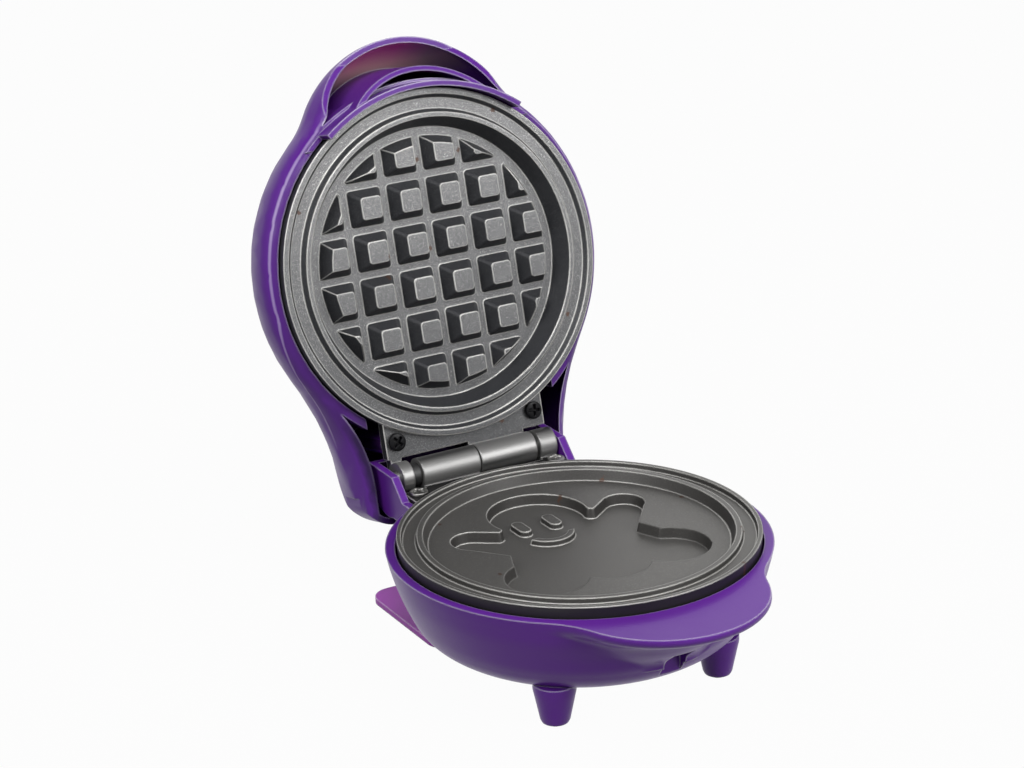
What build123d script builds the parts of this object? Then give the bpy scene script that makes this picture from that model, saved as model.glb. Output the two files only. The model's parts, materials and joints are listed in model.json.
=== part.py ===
from build123d import *
import os
from math import asin, cos, degrees, radians, sin, sqrt

os.makedirs("parts", exist_ok=True)

# A mini waffle maker, 130 mm round, shown with its lid open. Millimetres, +Z up, front towards -Y.
# Parts are drawn round the centre of the cooking plates with the lid closed, then the lid is opened.

# Cooking plates
PLATE_R = 60.0
LOWER_RIM_Z = 46.8
PLATE_GAP = 1.2
UPPER_RIM_Z = LOWER_RIM_Z + PLATE_GAP
PLATE_LIP_W = 1.5
PLATE_DEPTH = 12.5
PLATE_SKIRT = 7.0
SKIRT_DRAFT = 0.4
SKIRT_W = 3.0
PLATE_BACK_INSET = 4.0
LAND_DROP = 1.8
LAND_SLOPE = 0.5
RIDGE_W = 2.0
LOWER_CAVITY_R = PLATE_R - 8.7
LOWER_CAVITY_DEPTH = 3.7
LOWER_CAVITY_DRAFT = 1.6
UPPER_CAVITY_R = PLATE_R - 9.8
UPPER_CAVITY_DEPTH = 6.7
UPPER_CAVITY_DRAFT = 3.2
UPPER_RIDGE_RISE = 0.5
UPPER_RIDGE_SLOPE = 1.3
STUD_R = 4.0
STUD_BORE = 5.0

# Waffle grid of the upper plate
GRID_PITCH = 15.3
GRID_COUNT = 6
BOSS_BASE = 13.3
BOSS_TOP = 7.5
BOSS_H = 5.5
BOSS_CORNER_R = 1.2
BOSS_FIELD_R = PLATE_R - 15.8
MELD = 0.5

# Sunk figure of the lower plate, plan sizes about its own middle line
RELIEF_X = -0.7
RELIEF_DEPTH = 3.7
RELIEF_DRAFT = 12.0
HEAD_Y = 25.5
HEAD_R = 16.4
SHOULDER_X = 18.2
SHOULDER_Y = 18.4
HAND_X = 29.2
HAND_Y = 18.2
HAND_R = 6.6
WAIST_X = 23.7
WAIST_Y = 1.3
HEM_X = 35.2
HEM_Y = -26.0
HEM_LOBES = 3
HEM_OVERLAP = 1.0
FIGURE_HOLLOW_R = 1.6
FIGURE_CORNER_R = 1.2
FACE_H = 1.9
FACE_DRAFT = 10.0
EYE_X = 5.9
EYE_Y = 22.8
EYE_LEN = 10.0
EYE_W = 5.0
FACE_X = -2.9
MOUTH_Y = 15.6
MOUTH_R = 9.4
MOUTH_W = 3.0

# Hinge
HINGE_Y = PLATE_R + 10.0
HINGE_Z = (LOWER_RIM_Z + UPPER_RIM_Z) / 2
OPEN_ANGLE = 104.0
BARREL_R = 5.5
PIN_R = 2.4
PIN_FIT = 0.05
SPACER_WALL = 1.8
TAB_HALF_W = 31.3
TAB_FRONT_Y = HINGE_Y - 30.0
TAB_REAR_Y = HINGE_Y - 6.2
TAB_OVERLAP = 6.0
TAB_DROP = 2.5
TAB_T = 3.5
ARM_OVERLAP = 2.0
UPPER_KNUCKLES = ((-30.3, -26.1), (0.3, 22.5))
LOWER_KNUCKLES = ((-22.5, -0.3), (24.0, 30.6))

# Screws
SCREW_X = 27.2
UPPER_SCREW_Y = HINGE_Y - 11.3
LOWER_SCREW_Y = HINGE_Y - 9.8
SCREW_HEAD_R = 3.1
SCREW_SHANK_R = 1.5
SCREW_LEN = 7.0
SCREW_FIT = 0.1
PLATE_SCREW_HEAD_H = 1.6
REFLECTOR_SCREW_LEN = 5.0
DEEP_HEAD_H = 2.0
FOOT_SCREW_LEN = 9.0

# Base
WALL = 2.2
BODY_GAP = 0.3
BASE_RIM_Z = 43.0
PLATE_CLEARANCE = 0.5
BASE_MOUTH_R = PLATE_R + PLATE_CLEARANCE
BASE_RIM_R = BASE_MOUTH_R + 3.3
BOWL_FULLNESS = 0.45
BASE_FLOOR_Z = 11.7
BOWL_WAIST_Z = 20.5
BOWL_WAIST_R = BASE_RIM_R - 7.8
BOWL_FLAT_R = BOWL_WAIST_R - 18.0
BOWL_TURN_IN = 6.2
BOWL_TURN_Z = 14.2
LIP_R = 35.0
LIP_REACH = 19.2
LIP_Y = LIP_R - BASE_RIM_R - LIP_REACH
LIP_BLEND_R = 30.0
LIP_T = 2.7
LEG_X = BASE_RIM_R - 32.74
LEG_Y = 29.1 - BASE_RIM_R
LEG_TOP_R = 7.1
LEG_TOP_Z = 12.5
LEG_ROOT_H = 2.0
LEG_FOOT_R = 4.9
LEG_FOOT_Z = 0.3
LEG_ROUND = 1.5
PAD_R = 3.0
PAD_RECESS = 1.2
TROUGH_IN_X = TAB_HALF_W + 0.4
TROUGH_OUT_X = TROUGH_IN_X + 2.9
TROUGH_TOP_Z = 50.0
TROUGH_R = 13.0
TROUGH_FRONT_Y = HINGE_Y - 18.0
TROUGH_STEPS = 12
CHEEK_FRONT_Y = HINGE_Y - 11.0
CHEEK_TOP_Y = HINGE_Y - 4.0
LEDGE_FRONT_Y = HINGE_Y - 22.0
NOTCH_HALF_W = 4.0
NOTCH_TOP_Z = 27.5
NOTCH_DEPTH_Y = 6.5 - PLATE_R
RIB_ANGLES = (-60, 60, 100, -100, 150, -150)
RIB_T = 2.4
RIB_IN_R = BASE_MOUTH_R - 8.5

# Lid, heights taken upwards from the upper plate's rim plane
COLLAR_OUT_R = BASE_MOUTH_R + 2.0
COLLAR_DROP = 4.0
COLLAR_HALF_ANGLE = 37.0
LID_R = COLLAR_OUT_R + 2.5
LID_FOOT = 3.0
LID_TOP = 32.2
LID_EDGE_R = 20.5
HANDLE_R = 38.2
HANDLE_FLARE = 3.5
HANDLE_REACH = 13.5
HANDLE_BLEND_R = 30.0
LID_NECK_HALF_W = TROUGH_OUT_X + 4.4
LID_NECK_FLARE = 1.6
LID_NECK_EDGE = 2.5
LID_NECK_BLEND_R = 50.0
LID_NECK_BLEND_FLARE = 70.0
LID_TAIL_Y = HINGE_Y + 16.0
LID_TAIL_CORNER_R = 9.0
TAIL_EASE = 0.3
LID_RIM_ROUND = 6.0
SHOULDER_STEPS = (0, 18, 36, 52, 66, 79, 90)
MID_WALL_R = 34.85
MID_WALL_T = 1.8
MID_WALL_REACH = 5.4
MID_WALL_Y = MID_WALL_R - COLLAR_OUT_R - MID_WALL_REACH
RIM_BAND = 5.0
RIM_OVERLAP = 1.0
FRONT_SPLIT_Y = 20.0 - LID_R
GRIP_SLOPE = 27.0
GRIP_START_Y = 11.0 - LID_R
GRIP_FLAT = 12.0
SCREW_BOSS_R = 4.2

# Rear foot
FOOT_HALF_W = 38.4
FOOT_REAR_Y = HINGE_Y + 10.6
FOOT_LEN = 50.6
FOOT_FRONT_Y = FOOT_REAR_Y - FOOT_LEN
FOOT_T = 2.2
FOOT_CORNER_R = 7.0
FOOT_SCREW_X = 18.0
FOOT_SCREW_Y = FOOT_FRONT_Y + 6.0
FOOT_SCREW_SEAT_Z = 7.7
FOOT_BOSS_R = 4.0
FOOT_BOSS_H = 7.0
PEDESTAL_W = 52.0
PEDESTAL_D = 14.0
GLAND_BODY_R = 3.2
GLAND_FLANGE_R = 4.2
GLAND_FLANGE_T = 1.6
GLAND_BORE_R = 2.3
GLAND_LEN = 6.0
GLAND_Z = 7.0

# Heating parts
ELEMENT_RING_R = PLATE_R - 24.0
ELEMENT_TUBE_R = 3.2
ELEMENT_GAP_ANGLE = 40.0
ELEMENT_TAIL = 3.0
ELEMENT_PIN_R = 1.2
ELEMENT_PIN_LEN = 4.0
REFLECTOR_R = PLATE_R - 10.0
REFLECTOR_T = 0.8
REFLECTOR_DROP = 6.0
REFLECTOR_EDGE = 4.0
REFLECTOR_SLACK = 0.6
THERMOSTAT_Y = 20.0
THERMOSTAT_R = 8.0
THERMOSTAT_FLANGE_H = 3.0
THERMOSTAT_STEP = 1.5
THERMOSTAT_STEP_H = 0.4
THERMOSTAT_H = 7.6
BLADE_X = 4.0
BLADE_T = 0.8
BLADE_W = 4.8
BLADE_H = 3.4
FUSE_Y = -18.0
FUSE_R = 2.2
FUSE_LEN = 16.0
FUSE_LEAD_R = 0.6
FUSE_LEAD_LEN = 6.0
CLIP_T = 0.85
CLIP_W = 6.0
CLIP_LEN = 14.0
TERMINAL_Y = -12.0
TERMINAL_W = 26.0
TERMINAL_D = 14.0
TERMINAL_H = 8.5
TERMINAL_X = 7.0
TERMINAL_WELL_R = 2.2
TERMINAL_BORE_R = 1.6
TERMINAL_BORE_Z = 4.5
TERMINAL_SLOT_W = 2.0
TERMINAL_SEAT = 3.0
TERMINAL_SHANK_R = 1.0
TERMINAL_HEAD_Z = 6.2
TERMINAL_HEAD_H = 2.0
LENS_Y = -25.0
LENS_R = 4.0
LENS_STEM_R = 3.0
LENS_DOME = 1.7

FAR = 150.0


def rad_xy(r, deg):
    return (r * sin(radians(deg)), -r * cos(radians(deg)))


def at(x, y, z):
    return Location((x, y, z))


def cyl(r, z0, z1, x=0.0, y=0.0):
    return at(x, y, z0) * extrude(Circle(r), z1 - z0)


def ring(r_in, r_out, z0, z1, x=0.0, y=0.0):
    return cyl(r_out, z0, z1, x, y) - cyl(r_in, z0 - 1, z1 + 1, x, y)


def block(x0, x1, y0, y1, z0, z1):
    return at((x0 + x1) / 2, (y0 + y1) / 2, (z0 + z1) / 2) * Box(x1 - x0, y1 - y0, z1 - z0)


def turned(points):
    """A solid of revolution about Z from (radius, height) points."""
    face = make_face(Plane.XZ * Polyline(*points, close=True))
    return revolve(face, Axis.Z, 360)


def side_slab(points, x0, x1):
    """A prism along X from a closed outline given as (y, z) points."""
    face = make_face(Plane.YZ * Polyline(*points, close=True))
    return at(x0, 0, 0) * extrude(face, x1 - x0, dir=(1, 0, 0))


def x_cyl(r, x0, x1, y=HINGE_Y, z=HINGE_Z):
    return at(x0, y, z) * (Rotation(0, 90, 0) * extrude(Circle(r), x1 - x0))


def y_cyl(r, y0, y1, z, x=0.0):
    return at(x, y0, z) * (Rotation(-90, 0, 0) * extrude(Circle(r), y1 - y0))


def opened(part):
    """Swing a part drawn with the lid closed into the open lid's place."""
    swing = at(0, HINGE_Y, HINGE_Z) * Rotation(-OPEN_ANGLE, 0, 0) * at(0, -HINGE_Y, -HINGE_Z)
    return swing * part


def blend_points(bowl_r, lip_r, lip_y, blend_r):
    """Right-hand side of a blend between a round rim and a lip disc: rim end, middle and lip end."""
    reach = -lip_y
    cy = ((lip_r + blend_r) ** 2 - (bowl_r + blend_r) ** 2 - reach ** 2) / (2 * reach)
    centre = Vector(sqrt((bowl_r + blend_r) ** 2 - cy ** 2), cy)
    lip_centre = Vector(0, lip_y)
    rim_end = centre * (bowl_r / (bowl_r + blend_r))
    lip_end = lip_centre + (centre - lip_centre) * (lip_r / (lip_r + blend_r))
    middle = centre + ((rim_end + lip_end) * 0.5 - centre).normalized() * blend_r
    return rim_end, middle, lip_end


def mirror_x(p):
    return Vector(-p.X, p.Y)


def lip_outline(bowl_r, lip_r, lip_y, blend_r):
    """Plan of a round rim that swells into a rounded lip at the front."""
    rim_end, middle, lip_end = blend_points(bowl_r, lip_r, lip_y, blend_r)
    rear = ThreePointArc(rim_end, (0, bowl_r), mirror_x(rim_end))
    left = ThreePointArc(mirror_x(rim_end), mirror_x(middle), mirror_x(lip_end))
    front = ThreePointArc(mirror_x(lip_end), (0, lip_y - lip_r), lip_end)
    right = ThreePointArc(lip_end, middle, rim_end)
    return make_face(rear + left + front + right)


def lower_plate_disc():
    """The round of the lower plate from its rim plane down, turned about the middle."""
    floor = -LOWER_CAVITY_DEPTH
    ridge_out = LOWER_CAVITY_R + RIDGE_W
    lip_in = PLATE_R - PLATE_LIP_W
    return turned((
        (0, floor),
        (LOWER_CAVITY_R - LOWER_CAVITY_DRAFT, floor),
        (LOWER_CAVITY_R, 0),
        (ridge_out, 0),
        (ridge_out + LAND_SLOPE, -LAND_DROP),
        (lip_in - LAND_SLOPE, -LAND_DROP),
        (lip_in, 0),
        (PLATE_R, 0),
        (PLATE_R - SKIRT_DRAFT, -PLATE_SKIRT),
        (PLATE_R - SKIRT_W, -PLATE_SKIRT),
        (PLATE_R - PLATE_BACK_INSET, -PLATE_DEPTH),
        (0, -PLATE_DEPTH),
    ))


def both_sides(points):
    """Close an outline: the right-hand points, then their mirror images in turn."""
    return list(points) + [(-x, y) for x, y in reversed(points)]


def ghost_outline():
    """Plan of a bed-sheet ghost: round head to the rear, raised round hands, hem of shallow lobes."""
    gown = make_face(Polyline(*both_sides((
        (HEAD_R - 1.0, HEAD_Y - 5.0),
        (SHOULDER_X, SHOULDER_Y),
        (HAND_X - HAND_R * 0.68, HAND_Y + HAND_R * 0.73),
        (HAND_X + HAND_R * 0.6, HAND_Y - HAND_R * 0.79),
        (WAIST_X, WAIST_Y),
        (HEM_X, HEM_Y),
    )), close=True))
    shape = gown + Pos(0, HEAD_Y) * Circle(HEAD_R)
    for x in (-HAND_X, HAND_X):
        shape = shape + Pos(x, HAND_Y) * Circle(HAND_R)
    step = 2 * HEM_X / HEM_LOBES
    for i in range(HEM_LOBES):
        lobe_r = step / 2 + HEM_OVERLAP
        shape = shape + Pos(-HEM_X + step * (i + 0.5), HEM_Y + lobe_r / 2) * Circle(lobe_r)
    shape = offset(offset(shape, FIGURE_HOLLOW_R), -FIGURE_HOLLOW_R)
    shape = offset(offset(shape, -FIGURE_CORNER_R), FIGURE_CORNER_R)
    return Pos(RELIEF_X, 0) * shape


def ghost_face():
    """Two upright oval eyes and a curved mouth."""
    eye = Rotation(0, 0, 90) * SlotOverall(EYE_LEN, EYE_W)
    eyes = Pos(FACE_X - EYE_X, EYE_Y) * eye + Pos(FACE_X + EYE_X, EYE_Y) * eye
    arc = Circle(MOUTH_R) - Circle(MOUTH_R - MOUTH_W)
    smile = arc & (Pos(0, -MOUTH_R) * Rectangle(3 * MOUTH_R, MOUTH_R + MOUTH_W))
    return eyes + Pos(FACE_X, MOUTH_Y) * smile


def tab(z0, z1):
    """The flat ear behind a plate that carries its screws and knuckles."""
    ear = block(-TAB_HALF_W, TAB_HALF_W, TAB_FRONT_Y, TAB_REAR_Y, z0, z1)
    return ear - cyl(PLATE_R - TAB_OVERLAP, z0 - 1, z1 + 1)


def knuckle(x0, x1, arm_z0, arm_z1):
    """A hinge barrel and the flat arm that joins it to the tab."""
    barrel = x_cyl(BARREL_R, x0, x1)
    arm = block(x0, x1, TAB_REAR_Y - ARM_OVERLAP, HINGE_Y, arm_z0, arm_z1)
    return barrel + arm


def element_path_cut(z):
    """Round groove that beds half of the heating tube."""
    return at(0, 0, z) * Torus(ELEMENT_RING_R, ELEMENT_TUBE_R + SCREW_FIT)


def make_lower_plate():
    rim = LOWER_RIM_Z
    plate = at(0, 0, rim) * lower_plate_disc()
    relief_floor = rim - LOWER_CAVITY_DEPTH - RELIEF_DEPTH
    plate = plate - at(0, 0, relief_floor) * extrude(ghost_outline(), RELIEF_DEPTH + MELD, taper=-RELIEF_DRAFT)
    plate = plate + at(0, 0, relief_floor - MELD) * extrude(ghost_face(), FACE_H + MELD, taper=FACE_DRAFT)
    tab_z1 = rim - TAB_DROP
    tab_z0 = tab_z1 - TAB_T
    plate = plate + tab(tab_z0, tab_z1)
    for x0, x1 in LOWER_KNUCKLES:
        plate = plate + knuckle(x0, x1, tab_z0, tab_z1)
    plate = plate - x_cyl(PIN_R + PIN_FIT, -TAB_HALF_W, TAB_HALF_W)
    for x in (-SCREW_X, SCREW_X):
        plate = plate - cyl(SCREW_SHANK_R + SCREW_FIT, tab_z0 - 1, tab_z1 + 1, x, LOWER_SCREW_Y)
    plate = plate - element_path_cut(rim - PLATE_DEPTH)
    stud_end = rim - PLATE_DEPTH - REFLECTOR_DROP
    plate = plate + cyl(STUD_R, stud_end, rim - PLATE_DEPTH + MELD)
    plate = plate - cyl(SCREW_SHANK_R, stud_end - 1, stud_end + STUD_BORE)
    return plate


def upper_plate_disc():
    """The round of the upper plate from its rim plane up, turned about the middle."""
    ridge_out = UPPER_CAVITY_R + PLATE_LIP_W
    lip_in = PLATE_R - RIDGE_W
    return turned((
        (0, UPPER_CAVITY_DEPTH),
        (UPPER_CAVITY_R - UPPER_CAVITY_DRAFT, UPPER_CAVITY_DEPTH),
        (UPPER_CAVITY_R, -UPPER_RIDGE_RISE),
        (ridge_out, -UPPER_RIDGE_RISE),
        (ridge_out + UPPER_RIDGE_SLOPE, LAND_DROP),
        (lip_in - UPPER_RIDGE_SLOPE, LAND_DROP),
        (lip_in, 0),
        (PLATE_R, 0),
        (PLATE_R - SKIRT_DRAFT, PLATE_SKIRT),
        (PLATE_R - SKIRT_W, PLATE_SKIRT),
        (PLATE_R - PLATE_BACK_INSET, PLATE_DEPTH),
        (0, PLATE_DEPTH),
    ))


def waffle_bosses():
    """Tapered bosses on a square grid, the outer ones trimmed by the round field."""
    floor = UPPER_CAVITY_DEPTH
    top = floor - BOSS_H
    base_sketch = at(0, 0, floor + MELD) * RectangleRounded(BOSS_BASE, BOSS_BASE, BOSS_CORNER_R)
    top_sketch = at(0, 0, top) * RectangleRounded(BOSS_TOP, BOSS_TOP, BOSS_CORNER_R)
    boss = loft([base_sketch, top_sketch])
    run = (BOSS_BASE - BOSS_TOP) / 2
    field = turned(((0, top - 1), (BOSS_FIELD_R - run, top - 1), (BOSS_FIELD_R - run, top),
                    (BOSS_FIELD_R, floor + MELD), (0, floor + MELD)))
    half = (GRID_COUNT - 1) / 2
    bosses = []
    for i in range(GRID_COUNT):
        for j in range(GRID_COUNT):
            x = (i - half) * GRID_PITCH
            y = (j - half) * GRID_PITCH
            corner = abs(i - half) == half and abs(j - half) == half
            if not corner:
                placed = at(x, y, 0) * boss
                reach = sqrt((abs(x) + BOSS_BASE / 2) ** 2 + (abs(y) + BOSS_BASE / 2) ** 2)
                if reach > BOSS_FIELD_R - run:
                    placed = placed & field
                bosses.append(placed)
    return bosses


def make_upper_plate():
    rim = UPPER_RIM_Z
    plate = at(0, 0, rim) * upper_plate_disc()
    plate = plate + [at(0, 0, rim) * b for b in waffle_bosses()]
    tab_z0 = rim + TAB_DROP
    tab_z1 = tab_z0 + TAB_T
    plate = plate + tab(tab_z0, tab_z1)
    for x0, x1 in UPPER_KNUCKLES:
        plate = plate + knuckle(x0, x1, tab_z0, tab_z1)
    plate = plate - x_cyl(PIN_R + PIN_FIT, -TAB_HALF_W, TAB_HALF_W)
    for x in (-SCREW_X, SCREW_X):
        plate = plate - cyl(SCREW_SHANK_R + SCREW_FIT, tab_z0 - 1, tab_z1 + 1, x, UPPER_SCREW_Y)
    plate = plate - element_path_cut(rim + PLATE_DEPTH)
    stud_end = rim + PLATE_DEPTH + REFLECTOR_DROP
    plate = plate + cyl(STUD_R, rim + PLATE_DEPTH - MELD, stud_end)
    plate = plate - cyl(SCREW_SHANK_R, stud_end - STUD_BORE, stud_end + 1)
    return plate


def heating_tube(plate_back_z, away):
    """An open ring of tube bedded in the plate's back, its two ends turned away from the plate."""
    start = 90 + ELEMENT_GAP_ANGLE / 2
    arc = CenterArc((0, 0, 0), ELEMENT_RING_R, start, 360 - ELEMENT_GAP_ANGLE)
    tube = sweep(Plane(arc @ 0, z_dir=arc % 0) * Circle(ELEMENT_TUBE_R), path=arc)
    tube = at(0, 0, plate_back_z) * tube
    for end in (arc @ 0, arc @ 1):
        z_far = plate_back_z + away * (REFLECTOR_DROP + ELEMENT_TAIL)
        z_pin = z_far + away * ELEMENT_PIN_LEN
        tube = tube + at(end.X, end.Y, plate_back_z) * Sphere(ELEMENT_TUBE_R)
        tube = tube + cyl(ELEMENT_TUBE_R, min(plate_back_z, z_far), max(plate_back_z, z_far), end.X, end.Y)
        tube = tube + cyl(ELEMENT_PIN_R, min(z_far, z_pin), max(z_far, z_pin), end.X, end.Y)
    return tube


def heat_reflector(plate_back_z, away):
    """A thin dished disc on the plate's centre stud, with holes for the tube ends and thermostat."""
    z0 = plate_back_z + away * REFLECTOR_DROP
    low = min(z0, z0 + away * REFLECTOR_T)
    high = low + REFLECTOR_T
    edge_low = min(z0, z0 - away * REFLECTOR_EDGE)
    disc = cyl(REFLECTOR_R, low, high)
    edge_high = edge_low + REFLECTOR_EDGE + REFLECTOR_T / 2
    disc = disc + ring(REFLECTOR_R - REFLECTOR_T, REFLECTOR_R, edge_low, edge_high)
    half = radians(ELEMENT_GAP_ANGLE / 2)
    for side in (-1, 1):
        x = side * ELEMENT_RING_R * sin(half)
        disc = disc - cyl(ELEMENT_TUBE_R + REFLECTOR_SLACK, low - 1, high + 1, x, ELEMENT_RING_R * cos(half))
    disc = disc - cyl(SCREW_SHANK_R + SCREW_FIT, low - 1, high + 1)
    return disc - cyl(THERMOSTAT_R + REFLECTOR_SLACK, low - 1, high + 1, 0, THERMOSTAT_Y)


def thermostat(plate_back_z, away):
    """Round snap-disc thermostat pressed against the plate's back, with two blade terminals."""
    cap_r = THERMOSTAT_R - THERMOSTAT_STEP
    body = turned(((0, 0), (THERMOSTAT_R, 0), (THERMOSTAT_R, THERMOSTAT_FLANGE_H),
                   (cap_r, THERMOSTAT_FLANGE_H + THERMOSTAT_STEP_H), (cap_r, THERMOSTAT_H), (0, THERMOSTAT_H)))
    for x in (-BLADE_X, BLADE_X):
        body = body + block(x - BLADE_T / 2, x + BLADE_T / 2, -BLADE_W / 2, BLADE_W / 2,
                            THERMOSTAT_H - MELD, THERMOSTAT_H + BLADE_H)
    flip = Rotation(180, 0, 0) if away < 0 else Rotation(0, 0, 0)
    return at(0, THERMOSTAT_Y, plate_back_z) * (flip * body)


def thermal_fuse(seat_z):
    """Tube fuse lying on the reflector, with its two bare leads."""
    z = seat_z + FUSE_R
    body_x = FUSE_LEN / 2
    lead_x = body_x + FUSE_LEAD_LEN
    return x_cyl(FUSE_R, -body_x, body_x, FUSE_Y, z) + x_cyl(FUSE_LEAD_R, -lead_x, lead_x, FUSE_Y, z)


def fuse_clip(seat_z):
    """Sheet strap that holds the fuse down."""
    z = seat_z + FUSE_R
    half_w = CLIP_W / 2
    reach = CLIP_LEN / 2
    arch = x_cyl(FUSE_R + CLIP_T, -half_w, half_w, FUSE_Y, z)
    strap = block(-half_w, half_w, FUSE_Y - reach, FUSE_Y + reach, seat_z, seat_z + CLIP_T)
    clip = arch + strap - x_cyl(FUSE_R + PIN_FIT, -CLIP_W, CLIP_W, FUSE_Y, z)
    clip = clip - block(-CLIP_W, CLIP_W, FUSE_Y - FUSE_R, FUSE_Y + FUSE_R, seat_z - FUSE_R, z)
    return clip & block(-CLIP_W, CLIP_W, FUSE_Y - CLIP_LEN, FUSE_Y + CLIP_LEN, seat_z, z + 2 * FUSE_R)


def terminal_block():
    """Two-way ceramic connector on the floor of the bowl."""
    z0 = BASE_FLOOR_Z + WALL
    y0 = TERMINAL_Y - TERMINAL_D / 2
    y1 = TERMINAL_Y + TERMINAL_D / 2
    body = block(-TERMINAL_W / 2, TERMINAL_W / 2, y0, y1, z0, z0 + TERMINAL_H)
    for x in (-TERMINAL_X, TERMINAL_X):
        body = body - cyl(TERMINAL_WELL_R, z0 + TERMINAL_SEAT, z0 + TERMINAL_H + 1, x, TERMINAL_Y)
        body = body - y_cyl(TERMINAL_BORE_R, y0 - 1, y1 + 1, z0 + TERMINAL_BORE_Z, x)
    half_slot = TERMINAL_SLOT_W / 2
    return body - block(-half_slot, half_slot, y0 - 1, y1 + 1, z0 + TERMINAL_BORE_Z, z0 + TERMINAL_H + 1)


def terminal_screw(x):
    """Clamping screw that stands in a well of the terminal block."""
    z0 = BASE_FLOOR_Z + WALL
    head_z = z0 + TERMINAL_HEAD_Z
    head = cyl(TERMINAL_WELL_R - SCREW_FIT, head_z, head_z + TERMINAL_HEAD_H, x, TERMINAL_Y)
    return head + cyl(TERMINAL_SHANK_R, z0 + TERMINAL_SEAT, head_z + MELD, x, TERMINAL_Y)


def bowl_radius(z):
    """Outer radius of the bowl's round at a height between its waist and rim."""
    t = (z - BOWL_WAIST_Z) / (BASE_RIM_Z - BOWL_WAIST_Z)
    swell = (1 + BOWL_FULLNESS) * t - BOWL_FULLNESS * t * t
    return BOWL_WAIST_R + (BASE_RIM_R - BOWL_WAIST_R) * swell


def bowl_lower(inset):
    """The rounded bottom of the bowl, up to its waist."""
    z_in = BASE_FLOOR_Z + inset
    r_flat = BOWL_FLAT_R - inset * 0.3
    waist = (BOWL_WAIST_R - inset, BOWL_WAIST_Z)
    turn = (BOWL_WAIST_R - BOWL_TURN_IN - inset * 0.75, BOWL_TURN_Z + inset * 0.65)
    curve = Spline((r_flat, z_in), turn, waist, tangents=((1, 0), (0.45, 0.9)))
    flat = Line((0, z_in), (r_flat, z_in))
    up = Line(waist, (0, BOWL_WAIST_Z))
    back = Line((0, BOWL_WAIST_Z), (0, z_in))
    return revolve(make_face(Plane.XZ * (flat + curve + up + back)), Axis.Z, 360)


def bowl_upper(inset, top_z):
    """The bowl above its waist, flaring at the front into the lip, lofted through plan outlines."""
    sections = (
        (BOWL_WAIST_Z, 1.0, LIP_R - 6.0, LIP_BLEND_R - 14.0),
        (BOWL_WAIST_Z + 5.5, 2.4, LIP_R - 5.5, LIP_BLEND_R - 12.0),
        (BASE_RIM_Z - 11.0, 6.0, LIP_R - 4.0, LIP_BLEND_R - 8.0),
        (BASE_RIM_Z - 6.0, 12.5, LIP_R - 2.0, LIP_BLEND_R - 4.0),
        (BASE_RIM_Z - LIP_T, LIP_REACH + 0.2, LIP_R, LIP_BLEND_R),
        (top_z, LIP_REACH, LIP_R, LIP_BLEND_R),
    )
    outlines = []
    for z, reach, lip_r, blend in sections:
        r = bowl_radius(z)
        lip_y = -(r + reach - lip_r)
        outline = lip_outline(r - inset, lip_r - inset, lip_y, blend + inset)
        outlines.append(at(0, 0, z) * outline)
    return loft(outlines)


def trough_outline(r, top_z, start_deg, front):
    """Side view of the hinge trough: a front line, then round below the hinge and up the rear."""
    pts = list(front)
    for i in range(TROUGH_STEPS + 1):
        deg = start_deg + (90.0 - start_deg) * i / TROUGH_STEPS
        pts.append((HINGE_Y + r * sin(radians(deg)), HINGE_Z - r * cos(radians(deg))))
    pts.append((HINGE_Y + r, top_z))
    return pts


def trough_outer():
    """The box at the rear that carries the hinge, its cheeks sloping up to the lid."""
    front = ((TROUGH_FRONT_Y, TROUGH_TOP_Z), (TROUGH_FRONT_Y, HINGE_Z - TROUGH_R - MELD))
    body = side_slab(trough_outline(TROUGH_R, TROUGH_TOP_Z, -20.0, front), -TROUGH_OUT_X, TROUGH_OUT_X)
    above = TROUGH_TOP_Z + WALL
    slope = ((TAB_FRONT_Y, above), (TAB_FRONT_Y, BASE_RIM_Z), (CHEEK_FRONT_Y, BASE_RIM_Z),
             (CHEEK_TOP_Y, TROUGH_TOP_Z), (CHEEK_TOP_Y, above))
    return body - side_slab(slope, -TROUGH_OUT_X - 1, TROUGH_OUT_X + 1)


def trough_hollow():
    """Room for the hinge barrels and the two tabs."""
    r = TROUGH_R - WALL
    front_y = TAB_REAR_Y + BODY_GAP
    above = TROUGH_TOP_Z + WALL
    start_deg = degrees(asin((front_y - HINGE_Y) / r))
    inner = side_slab(trough_outline(r, above, start_deg, ((front_y, above),)), -TROUGH_IN_X, TROUGH_IN_X)
    tab_z0 = LOWER_RIM_Z - TAB_DROP - TAB_T
    return inner + block(-TROUGH_IN_X, TROUGH_IN_X, LEDGE_FRONT_Y, TAB_REAR_Y + ARM_OVERLAP, tab_z0, above)


def make_leg(x):
    """A tapered round leg with a shallow recess for its pad."""
    root_z = LEG_TOP_Z + LEG_ROOT_H
    cone = turned((
        (0, LEG_FOOT_Z),
        (LEG_FOOT_R - LEG_ROUND, LEG_FOOT_Z),
        (LEG_FOOT_R - LEG_ROUND / 3, LEG_FOOT_Z + LEG_ROUND / 3),
        (LEG_FOOT_R, LEG_FOOT_Z + LEG_ROUND),
        (LEG_TOP_R, LEG_TOP_Z),
        (LEG_TOP_R, root_z),
        (0, root_z),
    ))
    return at(x, LEG_Y, 0) * (cone - cyl(PAD_R, LEG_FOOT_Z - 1, LEG_FOOT_Z + PAD_RECESS))


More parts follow.
